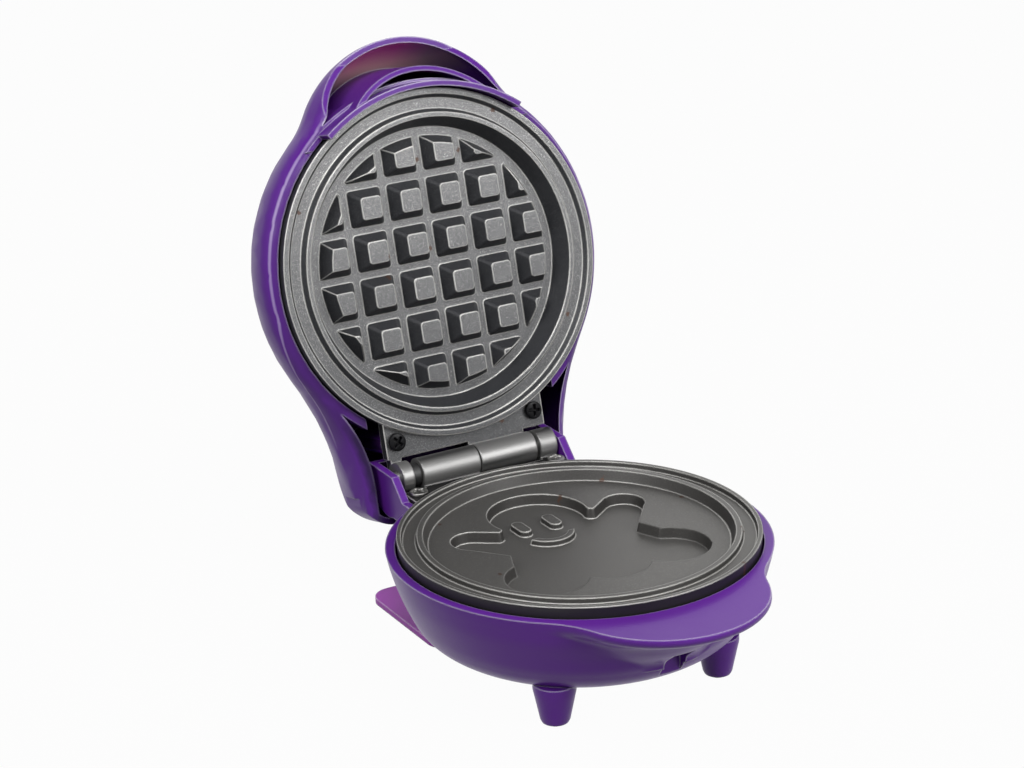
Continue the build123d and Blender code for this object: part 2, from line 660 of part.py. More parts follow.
def make_base_housing():
    """The bowl with its lip, hinge trough, front notch, legs, screw bosses and inner ribs."""
    plate_back = LOWER_RIM_Z - PLATE_DEPTH
    lip_under = BASE_RIM_Z - LIP_T
    outer = bowl_lower(0) + bowl_upper(0, BASE_RIM_Z) + trough_outer()
    inner = bowl_lower(WALL) + bowl_upper(WALL, BASE_RIM_Z)
    inner = inner & block(-FAR, FAR, -FAR, FAR, 0, lip_under)
    hull = outer - inner - cyl(BASE_MOUTH_R, lip_under - 1, TROUGH_TOP_Z + 1) - trough_hollow()
    within = bowl_lower(WALL / 2) + bowl_upper(WALL / 2, BASE_RIM_Z)
    pocket = block(-NOTCH_HALF_W - WALL, NOTCH_HALF_W + WALL, -FAR, NOTCH_DEPTH_Y + WALL, BASE_FLOOR_Z,
                   NOTCH_TOP_Z + WALL)
    hull = hull + (pocket & within)
    hull = hull - block(-NOTCH_HALF_W, NOTCH_HALF_W, -FAR, NOTCH_DEPTH_Y, 0, NOTCH_TOP_Z)
    for x in (-LEG_X, LEG_X):
        hull = hull + make_leg(x)
    tab_z0 = LOWER_RIM_Z - TAB_DROP - TAB_T
    for x in (-SCREW_X, SCREW_X):
        hull = hull - cyl(SCREW_SHANK_R, tab_z0 - (SCREW_LEN - ARM_OVERLAP), tab_z0 + 1, x, LOWER_SCREW_Y)
    for x in (-FOOT_SCREW_X, FOOT_SCREW_X):
        boss_z = BASE_FLOOR_Z + FOOT_BOSS_H
        hull = hull + cyl(FOOT_BOSS_R, BASE_FLOOR_Z + WALL / 2, boss_z, x, FOOT_SCREW_Y)
        hull = hull - cyl(SCREW_SHANK_R, BASE_FLOOR_Z - 1, boss_z - 1, x, FOOT_SCREW_Y)
    for deg in RIB_ANGLES:
        rib = block(-RIB_T / 2, RIB_T / 2, -BASE_MOUTH_R, -RIB_IN_R, BASE_FLOOR_Z + WALL, plate_back)
        hull = hull + ((Rotation(0, 0, deg) * rib) & within)
    return hull


def make_rear_foot():
    """Flat rear foot on a low pedestal; the gap above it takes the wound cord."""
    plan = Pos(0, (FOOT_FRONT_Y + FOOT_REAR_Y) / 2) * RectangleRounded(2 * FOOT_HALF_W, FOOT_LEN, FOOT_CORNER_R)
    foot = extrude(plan, FOOT_T)
    foot = foot + extrude(Pos(0, FOOT_SCREW_Y) * SlotOverall(PEDESTAL_W, PEDESTAL_D), BASE_FLOOR_Z)
    for x in (-FOOT_SCREW_X, FOOT_SCREW_X):
        foot = foot - cyl(SCREW_HEAD_R + SCREW_FIT, -1, FOOT_SCREW_SEAT_Z, x, FOOT_SCREW_Y)
        foot = foot - cyl(SCREW_SHANK_R + SCREW_FIT, 0, BASE_FLOOR_Z + 1, x, FOOT_SCREW_Y)
    bore_y = FOOT_SCREW_Y + PEDESTAL_D / 2
    return foot - y_cyl(GLAND_BODY_R + SCREW_FIT, bore_y - GLAND_LEN - 1, bore_y + 1, GLAND_Z)


def lid_plan(inset, flare, lean=0.0, round_r=0.0):
    """Plan of the lid: round, with the handle at the front and a waisted neck at the rear.

    flare runs from 0 at the lower edge to 1 at the shoulder and widens the handle and the neck.
    lean runs from 0 at the shoulder to 1 at the top and draws the outline in, less so at the neck.
    """
    pull = inset + lean * round_r
    r = LID_R - pull
    handle_r = HANDLE_R + flare * HANDLE_FLARE
    handle_y = handle_r - LID_R - HANDLE_REACH
    rim_end, middle, lip_end = blend_points(r, handle_r - pull, handle_y, HANDLE_BLEND_R + pull)
    half = LID_NECK_HALF_W + flare * LID_NECK_FLARE - inset - lean * LID_NECK_EDGE
    blend = LID_NECK_BLEND_R + flare * LID_NECK_BLEND_FLARE + inset
    centre = Vector(half + blend, sqrt((r + blend) ** 2 - (half + blend) ** 2))
    circle_end = centre * (r / (r + blend))
    neck_end = Vector(half, centre.Y)
    neck_mid = centre + ((circle_end + neck_end) * 0.5 - centre).normalized() * blend
    far = Vector(half, FAR)
    lines = [
        Line(far, mirror_x(far)),
        Line(mirror_x(far), mirror_x(neck_end)),
        ThreePointArc(mirror_x(neck_end), mirror_x(neck_mid), mirror_x(circle_end)),
        ThreePointArc(mirror_x(circle_end), (-r, 0), mirror_x(rim_end)),
        ThreePointArc(mirror_x(rim_end), mirror_x(middle), mirror_x(lip_end)),
        ThreePointArc(mirror_x(lip_end), (0, handle_y - handle_r + pull), lip_end),
        ThreePointArc(lip_end, middle, rim_end),
        ThreePointArc(rim_end, (r, 0), circle_end),
        ThreePointArc(circle_end, neck_mid, neck_end),
        Line(neck_end, far),
    ]
    return make_face(Wire(lines))


def tail_profile(inset):
    """Side view that rounds the top of the neck down to the tail; (y, height) points."""
    tail = LID_TAIL_Y - inset
    above = LID_TOP + WALL
    fall = ((0.0, 24.2), (0.5, 20.2), (1.8, 16.6), (4.2, 12.8),
            (7.8, 9.2), (12.5, 6.0), (19.5, 3.0), (29.0, 0.8))
    curve = tuple((tail - back, LID_TOP - drop - inset) for back, drop in fall)
    return ((tail, -20),) + curve + ((tail - 40.0, above), (-FAR, above), (-FAR, -20))


def tail_limits(inset):
    """Upright prism that rounds the tail's corners in plan."""
    half = LID_NECK_HALF_W + LID_NECK_FLARE + TAIL_EASE - inset
    tail = LID_TAIL_Y - inset
    depth = 2 * LID_TAIL_CORNER_R + WALL
    end = Pos(0, tail - depth / 2) * RectangleRounded(2 * half, depth, LID_TAIL_CORNER_R - inset)
    front_y = tail - depth / 2
    front = Pos(0, front_y - FAR) * Rectangle(2 * FAR, 2 * FAR)
    return extrude(end + front, FAR)


def lid_block(inset, foot=LID_FOOT):
    """The lid's outer form, shrunk by an inset; a foot below the lid's own reaches down straight."""
    base = UPPER_RIM_Z
    shoulder = LID_TOP - LID_EDGE_R
    edge = at(0, 0, base + LID_FOOT) * lid_plan(inset, 0.0)
    body = loft([edge, at(0, 0, base + shoulder) * lid_plan(inset, 1.0)])
    if inset == 0:
        foot_z = base + LID_FOOT
        edges = body.edges().filter_by_position(Axis.Z, foot_z - 0.01, foot_z + 0.01)
        body = fillet([e for e in edges if e.center().Y < FAR - 1], LID_RIM_ROUND)
    if foot < LID_FOOT:
        body = body + at(0, 0, base + foot) * extrude(lid_plan(inset, 0.0), LID_FOOT - foot)
    round_r = LID_EDGE_R - inset
    outlines = []
    for deg in SHOULDER_STEPS:
        turn = radians(deg)
        outline = lid_plan(inset, 1.0, 1 - cos(turn), round_r)
        outlines.append(at(0, 0, base + shoulder + round_r * sin(turn)) * outline)
    body = body + loft(outlines)
    keep = at(0, 0, base) * side_slab(tail_profile(inset), -FAR, FAR)
    return body & keep & tail_limits(inset)


def grip_cut():
    """Wedge that lifts the lower edge of the handle's outer wall towards its tip."""
    base = UPPER_RIM_Z
    slope = sin(radians(GRIP_SLOPE)) / cos(radians(GRIP_SLOPE))
    flat_y = GRIP_START_Y - (GRIP_FLAT - LID_FOOT) / slope
    wedge = ((GRIP_START_Y, base - LID_FOOT), (GRIP_START_Y, base + LID_FOOT), (flat_y, base + GRIP_FLAT),
             (-FAR, base + GRIP_FLAT), (-FAR, base - LID_FOOT))
    return side_slab(wedge, -FAR, FAR)


def lid_hollow(core, low, high):
    """The room for the plate, and the finger pocket in front of it."""
    drum = cyl(COLLAR_OUT_R, low, high)
    ahead = block(-FAR, FAR, -FAR, FRONT_SPLIT_Y, low, high)
    behind = block(-FAR, FAR, 0, FAR, low, high)
    room = core & (cyl(COLLAR_OUT_R + WALL, low, high) + behind)
    room = room - (ahead - drum)
    pocket = core - drum - block(-FAR, FAR, FRONT_SPLIT_Y, FAR, low, high)
    return room, pocket


def front_collar(base):
    """The low band round the front of the plate, hanging below the lid's rim."""
    wall = ring(BASE_MOUTH_R, COLLAR_OUT_R, base - COLLAR_DROP, base + LID_FOOT + RIM_BAND)
    x_end, y_end = rad_xy(LID_R * 1.4, COLLAR_HALF_ANGLE)
    sector = make_face(Polyline((0, 0), (x_end, y_end), (0, -2 * LID_R), (-x_end, y_end), close=True))
    return wall & (at(0, 0, base - COLLAR_DROP - 1) * extrude(sector, FAR))


def pocket_wall(base, low, high):
    """The curved wall that splits the finger pocket, its lower edge ramped up to the front."""
    mid = ring(MID_WALL_R - MID_WALL_T, MID_WALL_R, base - COLLAR_DROP, high, 0, MID_WALL_Y)
    mid = mid - cyl(COLLAR_OUT_R - MELD, low, high)
    ramp = side_slab(((-40.0, low), (-40.0, base - 9.9), (-58.6, base - 2.5), (-68.5, base + 1.5),
                      (-FAR, base + 1.5), (-FAR, low)), -FAR, FAR)
    mid = (mid - ramp) & block(-FAR, FAR, -FAR, GRIP_START_Y - 1, low, high)
    return mid & lid_block(WALL / 2, -2 * COLLAR_DROP)


def make_lid_housing():
    """The lid shell with its handle, finger pocket, plate collar and screw bosses."""
    base = UPPER_RIM_Z
    low = base - 20.0
    high = base + LID_TOP + 20.0
    outer = lid_block(0)
    room, pocket = lid_hollow(lid_block(WALL, LID_FOOT - 10), low, high)
    shell = outer - pocket - room - grip_cut()
    band_top = base + LID_FOOT + RIM_BAND
    rim = ring(BASE_MOUTH_R, COLLAR_OUT_R + RIM_OVERLAP, base, band_top)
    neck_in = LID_NECK_HALF_W - WALL
    rim = rim - block(-neck_in, neck_in, LID_R / 3, FAR, base - 1, band_top + 1)
    shell = shell + (rim & outer) + front_collar(base)
    wall = ring(BASE_MOUTH_R, COLLAR_OUT_R, base + LID_FOOT, base + LID_TOP)
    partition = wall & lid_block(WALL / 2, LID_FOOT - 10) & block(-FAR, FAR, -FAR, FRONT_SPLIT_Y, low, high)
    shell = shell + partition + pocket_wall(base, low, high)
    boss_z = base + TAB_DROP + TAB_T
    for x in (-SCREW_X, SCREW_X):
        boss = cyl(SCREW_BOSS_R, boss_z, base + LID_TOP, x, UPPER_SCREW_Y)
        shell = shell + (boss & lid_block(WALL / 2))
        shell = shell - cyl(SCREW_SHANK_R, boss_z - 1, boss_z + SCREW_LEN - ARM_OVERLAP, x, UPPER_SCREW_Y)
    return shell - cyl(LENS_STEM_R + PIN_FIT, base + LID_TOP - 2 * WALL, base + LID_TOP + 1, 0, LENS_Y)


def make_screw(x, y, seat_z, up, head_h, length, head_r=SCREW_HEAD_R):
    """A screw whose head rests on seat_z, on its up side, and whose shank runs the other way."""
    far = seat_z + up * head_h
    tip = seat_z - up * length
    head = cyl(head_r, min(seat_z, far), max(seat_z, far), x, y)
    return head + cyl(SCREW_SHANK_R - PIN_FIT, min(seat_z, tip), max(seat_z, tip), x, y)


def foot_pad(x):
    """Soft pad pressed into the recess of a front leg."""
    return cyl(PAD_R - PIN_FIT, 0, LEG_FOOT_Z + PAD_RECESS, x, LEG_Y)


def cord_gland():
    """Flanged bushing for the mains cord in the rear of the pedestal."""
    y = FOOT_SCREW_Y + PEDESTAL_D / 2
    gland = y_cyl(GLAND_BODY_R, y - GLAND_LEN, y + MELD, GLAND_Z)
    gland = gland + y_cyl(GLAND_FLANGE_R, y, y + GLAND_FLANGE_T, GLAND_Z)
    return gland - y_cyl(GLAND_BORE_R, y - GLAND_LEN - 1, y + GLAND_FLANGE_T + 1, GLAND_Z)


def indicator_lens():
    """Domed lens of the ready light on the lid's top, its stem through the shell."""
    top = UPPER_RIM_Z + LID_TOP
    lens = turned(((0, -WALL), (LENS_STEM_R, -WALL), (LENS_STEM_R, 0), (LENS_R, 0),
                   (LENS_R * 0.92, LENS_DOME * 0.47), (LENS_R * 0.65, LENS_DOME * 0.82), (0, LENS_DOME)))
    return at(0, LENS_Y, top) * lens


def hinge_spacer():
    """Sleeve on the pin between the left-hand barrels."""
    x0 = UPPER_KNUCKLES[0][1] + BODY_GAP
    x1 = LOWER_KNUCKLES[0][0] - BODY_GAP
    return x_cyl(PIN_R + SPACER_WALL, x0, x1) - x_cyl(PIN_R + PIN_FIT, x0 - 1, x1 + 1)


LOWER_BACK_Z = LOWER_RIM_Z - PLATE_DEPTH
UPPER_BACK_Z = UPPER_RIM_Z + PLATE_DEPTH
LOWER_TAB_TOP = LOWER_RIM_Z - TAB_DROP
UPPER_TAB_FACE = UPPER_RIM_Z + TAB_DROP
LOWER_SHIELD_Z = LOWER_BACK_Z - REFLECTOR_DROP - REFLECTOR_T
UPPER_SHIELD_Z = UPPER_BACK_Z + REFLECTOR_DROP + REFLECTOR_T

plate_screw = dict(head_h=PLATE_SCREW_HEAD_H, length=SCREW_LEN)
shield_screw = dict(head_h=DEEP_HEAD_H, length=REFLECTOR_SCREW_LEN)
foot_screw = dict(head_h=DEEP_HEAD_H, length=FOOT_SCREW_LEN)

base_parts = {
    "base_housing": make_base_housing(),
    "lower_plate": make_lower_plate(),
    "rear_foot": make_rear_foot(),
    "hinge_pin": x_cyl(PIN_R, -TROUGH_IN_X + BODY_GAP, TROUGH_IN_X - BODY_GAP),
    "hinge_spacer": hinge_spacer(),
    "lower_heating_element": heating_tube(LOWER_BACK_Z, -1),
    "lower_heat_reflector": heat_reflector(LOWER_BACK_Z, -1),
    "lower_reflector_screw": make_screw(0, 0, LOWER_SHIELD_Z, -1, **shield_screw),
    "lower_thermostat": thermostat(LOWER_BACK_Z, -1),
    "terminal_block": terminal_block(),
    "terminal_screw_left": terminal_screw(-TERMINAL_X),
    "terminal_screw_right": terminal_screw(TERMINAL_X),
    "lower_plate_screw_left": make_screw(-SCREW_X, LOWER_SCREW_Y, LOWER_TAB_TOP, 1, **plate_screw),
    "lower_plate_screw_right": make_screw(SCREW_X, LOWER_SCREW_Y, LOWER_TAB_TOP, 1, **plate_screw),
    "foot_screw_left": make_screw(-FOOT_SCREW_X, FOOT_SCREW_Y, FOOT_SCREW_SEAT_Z, -1, **foot_screw),
    "foot_screw_right": make_screw(FOOT_SCREW_X, FOOT_SCREW_Y, FOOT_SCREW_SEAT_Z, -1, **foot_screw),
    "front_pad_left": foot_pad(-LEG_X),
    "front_pad_right": foot_pad(LEG_X),
    "cord_gland": cord_gland(),
}

lid_parts = {
    "lid_housing": make_lid_housing(),
    "upper_plate": make_upper_plate(),
    "upper_heating_element": heating_tube(UPPER_BACK_Z, 1),
    "upper_heat_reflector": heat_reflector(UPPER_BACK_Z, 1),
    "upper_reflector_screw": make_screw(0, 0, UPPER_SHIELD_Z, 1, **shield_screw),
    "upper_thermostat": thermostat(UPPER_BACK_Z, 1),
    "thermal_fuse": thermal_fuse(UPPER_SHIELD_Z),
    "fuse_clip": fuse_clip(UPPER_SHIELD_Z),
    "upper_plate_screw_left": make_screw(-SCREW_X, UPPER_SCREW_Y, UPPER_TAB_FACE, -1, **plate_screw),
    "upper_plate_screw_right": make_screw(SCREW_X, UPPER_SCREW_Y, UPPER_TAB_FACE, -1, **plate_screw),
    "indicator_lens": indicator_lens(),
}

placed = dict(base_parts)
for name, part in lid_parts.items():
    placed[name] = opened(part)

# Centre the whole object front to back.
front_y = min(part.bounding_box().min.Y for part in placed.values())
rear_y = max(part.bounding_box().max.Y for part in placed.values())
centring = Pos(0, -(front_y + rear_y) / 2, 0)
print("shift", round(-(front_y + rear_y) / 2, 4))

for name, part in placed.items():
    export_step(centring * part, f"parts/{name}.step")
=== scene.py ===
import json
import math

import bmesh
import bpy
from mathutils import Matrix, Vector


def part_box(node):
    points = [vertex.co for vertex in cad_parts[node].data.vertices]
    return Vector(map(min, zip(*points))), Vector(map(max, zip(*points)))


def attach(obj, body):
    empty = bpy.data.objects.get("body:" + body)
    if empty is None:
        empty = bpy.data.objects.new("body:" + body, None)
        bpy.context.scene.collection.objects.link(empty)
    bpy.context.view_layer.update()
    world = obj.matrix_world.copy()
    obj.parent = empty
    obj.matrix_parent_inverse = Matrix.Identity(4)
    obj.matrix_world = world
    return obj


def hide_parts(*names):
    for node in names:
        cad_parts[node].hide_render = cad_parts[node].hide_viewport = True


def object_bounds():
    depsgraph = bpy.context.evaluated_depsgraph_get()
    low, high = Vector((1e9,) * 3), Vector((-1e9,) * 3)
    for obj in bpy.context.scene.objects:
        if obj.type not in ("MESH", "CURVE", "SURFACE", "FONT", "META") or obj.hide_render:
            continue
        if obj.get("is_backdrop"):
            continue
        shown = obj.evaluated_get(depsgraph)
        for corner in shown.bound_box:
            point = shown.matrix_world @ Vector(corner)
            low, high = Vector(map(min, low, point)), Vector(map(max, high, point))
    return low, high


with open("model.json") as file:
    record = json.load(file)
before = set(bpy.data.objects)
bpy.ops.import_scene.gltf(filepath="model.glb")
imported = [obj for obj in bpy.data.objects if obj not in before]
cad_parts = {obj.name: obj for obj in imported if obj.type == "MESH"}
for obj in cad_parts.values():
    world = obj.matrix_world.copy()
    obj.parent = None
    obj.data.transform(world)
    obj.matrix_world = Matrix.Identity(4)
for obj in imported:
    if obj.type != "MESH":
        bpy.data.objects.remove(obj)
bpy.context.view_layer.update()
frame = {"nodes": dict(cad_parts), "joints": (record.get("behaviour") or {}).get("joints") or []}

nodes = frame["nodes"]
HINGE_AT = Vector(frame["joints"][0]["pos_m"])
MM = 0.001


# Shader maths: a value in a finish, so that maths on it reads as plain Python.
class Value:
    def __init__(self, finish, socket):
        self.finish = finish
        self.socket = socket

    def maths(self, operation, *others):
        inputs = {0: self}
        for place, other in enumerate(others, 1):
            inputs[place] = other
        return self.finish.node("ShaderNodeMath", {"operation": operation}, inputs)

    def __add__(self, other):
        return self.maths("ADD", other)

    __radd__ = __add__

    def __sub__(self, other):
        return self.maths("SUBTRACT", other)

    def __rsub__(self, other):
        return self.finish.node("ShaderNodeMath", {"operation": "SUBTRACT"}, {0: other, 1: self})

    def __mul__(self, other):
        return self.maths("MULTIPLY", other)

    __rmul__ = __mul__

    def __pow__(self, other):
        return self.maths("POWER", other)

    def above(self, edge):
        return self.maths("GREATER_THAN", edge)

    def below(self, edge):
        return self.maths("LESS_THAN", edge)

    def at_most(self, limit):
        return self.maths("MINIMUM", limit)

    def at_least(self, limit):
        return self.maths("MAXIMUM", limit)

    def size(self):
        return self.maths("ABSOLUTE")

    def root(self):
        return self.maths("SQRT")


class Finish:
    """A material under construction: one principled surface and the nodes that feed it."""

    def __init__(self, name, **fixed):
        self.material = bpy.data.materials.new(name)
        self.material.use_nodes = True
        self.tree = self.material.node_tree
        self.tree.nodes.clear()
        self.output = self.tree.nodes.new("ShaderNodeOutputMaterial")
        self.surface = self.tree.nodes.new("ShaderNodeBsdfPrincipled")
        self.tree.links.new(self.surface.outputs[0], self.output.inputs[0])
        for socket, value in fixed.items():
            self.surface.inputs[socket.replace("_", " ")].default_value = value

    def node(self, kind, settings=None, inputs=None, out=0):
        made = self.tree.nodes.new(kind)
        for key, value in (settings or {}).items():
            setattr(made, key, value)
        for place, value in (inputs or {}).items():
            if isinstance(value, Value):
                self.tree.links.new(value.socket, made.inputs[place])
            else:
                made.inputs[place].default_value = value
        return Value(self, made.outputs[out])

    def feed(self, socket, value):
        self.tree.links.new(value.socket, self.surface.inputs[socket])

    # Shorthand for nodes used by several finishes.
    def where(self):
        return self.node("ShaderNodeTexCoord", out="Object")

    def facing(self):
        return self.node("ShaderNodeTexCoord", out="Normal")

    def axes(self, place):
        split = self.node("ShaderNodeSeparateXYZ", None, {0: place})
        outputs = split.socket.node.outputs
        return [Value(self, outputs[i]) for i in range(3)]

    def vector(self, operation, first, second, out=0):
        return self.node("ShaderNodeVectorMath", {"operation": operation}, {0: first, 1: second}, out)

    def dot(self, first, second):
        return self.vector("DOT_PRODUCT", first, second, out=1)

    def noise(self, place, scale, detail=2.0, rough=0.5):
        inputs = {"Vector": place, "Scale": scale, "Detail": detail, "Roughness": rough}
        return self.node("ShaderNodeTexNoise", None, inputs, out="Fac")

    def spread(self, value, low, high, new_low=0.0, new_high=1.0):
        inputs = {0: value, 1: low, 2: high, 3: new_low, 4: new_high}
        return self.node("ShaderNodeMapRange", None, inputs)

    def blend(self, factor, first, second):
        inputs = {0: factor, 6: first, 7: second}
        return self.node("ShaderNodeMix", {"data_type": "RGBA"}, inputs, out=2)

    def edges(self, width):
        """How much a point lies on an edge, 0 on a flat face, and the normal of the rounded edge."""
        rounded = self.node("ShaderNodeBevel", {"samples": 6}, {"Radius": width})
        flat = self.node("ShaderNodeNewGeometry", out="Normal")
        return 1.0 - self.dot(rounded, flat), rounded

    def bump(self, height, distance, strength, below=None):
        inputs = {"Height": height, "Distance": distance, "Strength": strength}
        if below is not None:
            inputs["Normal"] = below
        return self.node("ShaderNodeBump", None, inputs)


def colour(r, g, b):
    return (r, g, b, 1.0)


# Directions of the lid as it stands open: along its plate away from the hinge, and into its shell.
LID_TURN = math.radians(104.0)
LID_ALONG = (0.0, -math.cos(LID_TURN), math.sin(LID_TURN))
LID_INWARD = (0.0, math.sin(LID_TURN), math.cos(LID_TURN))

# Places in the lid, in metres: a point inside the shell, the posts beside the hinge, the painted highlight
# line, and how far along the lid its neck, its dome and its handle reach.
LID_MIDDLE = Vector(LID_ALONG) * 0.070 + Vector(LID_INWARD) * 0.010 + HINGE_AT
POST_HALF, POST_TOP = 0.034, 0.035
PAINTED_LINE_DEPTH, PAINTED_LINE_SLOPE, PAINTED_LINE_BEND = 0.0053, 0.14, 0.060
PAINTED_LINE_FROM, PAINTED_LINE_TO = (0.012, 0.020), (0.126, 0.121)
PAINTED_LINE_HALF_WIDTH = (0.00050, 0.00015)
NECK_FOOT, NECK_END = (-0.001, -0.004), (0.030, 0.016)
HANDLE_FROM, HANDLE_WALL_FROM = 0.120, (0.132, 0.140)

# Places on the plates: radius of the hinge barrels, middle of the lower plate front to back, radii of
# its sunk floor and of its skirt, and where the near half of the floor begins.
BARREL_R = 0.0062
plate_low, plate_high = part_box("lower_plate")
LOWER_MIDDLE_Y = plate_low.y + (plate_high.x - plate_low.x) / 2
FLOOR_R = (0.0475, 0.0465)
SKIRT_R = 0.0597
NEAR_HALF_Y = (-0.016, -0.026)

# Inside of the hinge trough in the base.
TROUGH_HALF = 0.0316
TROUGH_FRONT = HINGE_AT.y - 0.015
TROUGH_FLOOR = HINGE_AT.z - 0.020
TROUGH_TOP_EDGE = HINGE_AT.z + 0.0011


# Finishes
def lid_insides(f, place, body, rim):
    """Painted highlight line round the rim with a band of painted shade beside it, painted shade inside the
    shell,
    and painted light in the handle: brown deep in it, and red in its thin wall where light comes through."""
    x = f.axes(place)[0]
    facing = f.facing()
    from_hinge = f.vector("SUBTRACT", place, tuple(HINGE_AT))
    along = f.dot(from_hinge, LID_ALONG)
    deep = f.dot(from_hinge, LID_INWARD)
    inwardness = f.dot(facing, LID_INWARD)
    outward = f.vector("SUBTRACT", place, tuple(LID_MIDDLE))

    # Painted shade inside the shell and on the posts beside the hinge
    handle_rim = inwardness.below(-0.95) * along.above(HANDLE_FROM)
    sideways = f.dot(facing, (1.0, 0.0, 0.0)) ** 2.0
    post = sideways.above(0.8) * (x ** 2.0).below(POST_HALF ** 2.0) * along.below(POST_TOP)
    turned_in = (f.dot(outward, facing).below(0.0) + post).at_most(1.0) * (1.0 - handle_rim)
    body = f.blend(turned_in * (0.75 + 0.17 * post), body, colour(0.020, 0.006, 0.040))

    # Painted highlight line round the rim, and a band of painted shade between it and the rim
    off_line = deep - (PAINTED_LINE_DEPTH + PAINTED_LINE_SLOPE * (PAINTED_LINE_BEND - along).at_least(0.0))
    shown = (1.0 - turned_in) * f.spread(inwardness, -0.05, -0.20) * f.spread(inwardness, -0.995, -0.96)
    shown = shown * f.spread(along, *PAINTED_LINE_TO) * f.spread(along, *PAINTED_LINE_FROM)
    body = f.blend(shown * f.spread(off_line, 0.0, -0.0006) * 0.35, body, colour(0.045, 0.012, 0.105))
    painted_highlight_line = f.spread(off_line.size(), *PAINTED_LINE_HALF_WIDTH)
    body = f.blend(shown * painted_highlight_line * 0.50, body, colour(0.46, 0.36, 0.60))

    # Painted shade on the turned-in edge at the left of the neck; no painted edge highlight there and under
    # the neck
    neck_left = f.spread(along, *NECK_END) * x.below(0.0) * (1.0 - turned_in)
    body = f.blend(neck_left * f.spread(inwardness, -0.58, -0.80) * 0.9, body, colour(0.012, 0.004, 0.030))
    below_neck = f.spread(along, *NECK_FOOT) * f.spread(inwardness, -0.40, -0.20)
    rim = rim * (1.0 - below_neck) * (1.0 - 0.85 * neck_left)

    # Handle: stronger painted edge highlight, painted brown glow in its depth and painted red light in its
    # thin wall
    rim = (rim * (1.0 + 0.6 * f.spread(along, HANDLE_FROM, HANDLE_FROM + 0.006))).at_most(1.0)
    handle = f.spread(along, *HANDLE_WALL_FROM)
    wall = handle * f.spread(f.dot(facing, LID_ALONG), -0.30, -0.60)
    painted_brown_glow = f.blend(f.spread(x, 0.004, 0.026), colour(0.62, 0.47, 0.38), colour(0.20, 0.16, 0.12))
    body = f.blend(handle * turned_in * f.spread(deep, 0.010, 0.016) * 0.85, body, painted_brown_glow)
    red_part = f.spread(x, 0.016, 0.004) * f.spread(x, -0.026, -0.012)
    body = f.blend(wall * red_part * f.spread(deep, 0.030, 0.018), body, colour(0.80, 0.11, 0.36))
    return body, rim


def base_insides(f, place, body, rim):
    """Painted shade inside the hinge trough, except along its top edge."""
    x, y, z = f.axes(place)
    within = (x ** 2.0).below(TROUGH_HALF ** 2.0) * y.above(TROUGH_FRONT) * z.above(TROUGH_FLOOR)
    top_edge = f.dot(f.facing(), (0.0, 0.0, 1.0)).above(0.7) * z.above(TROUGH_TOP_EDGE)
    return f.blend(within * (1.0 - top_edge) * 0.92, body, colour(0.008, 0.003, 0.014)), rim


def moulded_purple(name, deep, bright, insides=None, specular=0.19):
    """Satin moulded plastic: faint flow clouding, fine orange peel, glossier edges painted paler as a painted
    highlight.
    """
    f = Finish(name, IOR=1.5, Specular_IOR_Level=specular, Coat_Roughness=0.10)
    place = f.where()
    cloud = f.spread(f.noise(place, 9.0), 0.30, 0.70)
    edge, rounded = f.edges(0.9 * MM)
    rim = f.spread(edge, 0.006, 0.11)
    body = f.blend(cloud, deep, bright)
    if insides:
        body, rim = insides(f, place, body, rim)
    # Painted highlight: the edges are painted paler, as if catching the light.
    pale = tuple(0.55 * c + 0.42 for c in bright[:3]) + (1.0,)
    f.feed("Base Color", f.blend(rim * 0.6, body, pale))
    f.feed("Coat Weight", 0.08 + 0.9 * rim)
    scuff = f.noise(place, 900.0, 3.0, 0.6)
    wiped = f.noise(place, 40.0, 3.0, 0.6)
    f.feed("Roughness", 0.32 + 0.06 * scuff + 0.05 * f.spread(wiped, 0.45, 0.75))
    peel = f.noise(place, 420.0)
    f.feed("Normal", f.bump(peel + 0.15 * scuff, 0.00002, 0.4, rounded))
    return f.material


def batter_residue(f, place, coat, along):
    """A few small burnt flecks left on the plate."""
    flat = f.node("ShaderNodeCombineXYZ", None, {0: f.axes(place)[0], 1: f.dot(place, along)})
    cells = {"Vector": flat, "Scale": 62.0}
    flat_cells = {"voronoi_dimensions": "2D"}
    apart = f.node("ShaderNodeTexVoronoi", flat_cells, cells, out="Distance")
    pick = f.axes(f.node("ShaderNodeTexVoronoi", flat_cells, cells, out="Color"))[0]
    ragged = apart + 0.10 * f.noise(place, 1100.0)
    fleck = ragged.below(0.098) * pick.above(0.80)
    return f.blend(fleck * 0.80, coat, colour(0.070, 0.030, 0.016))


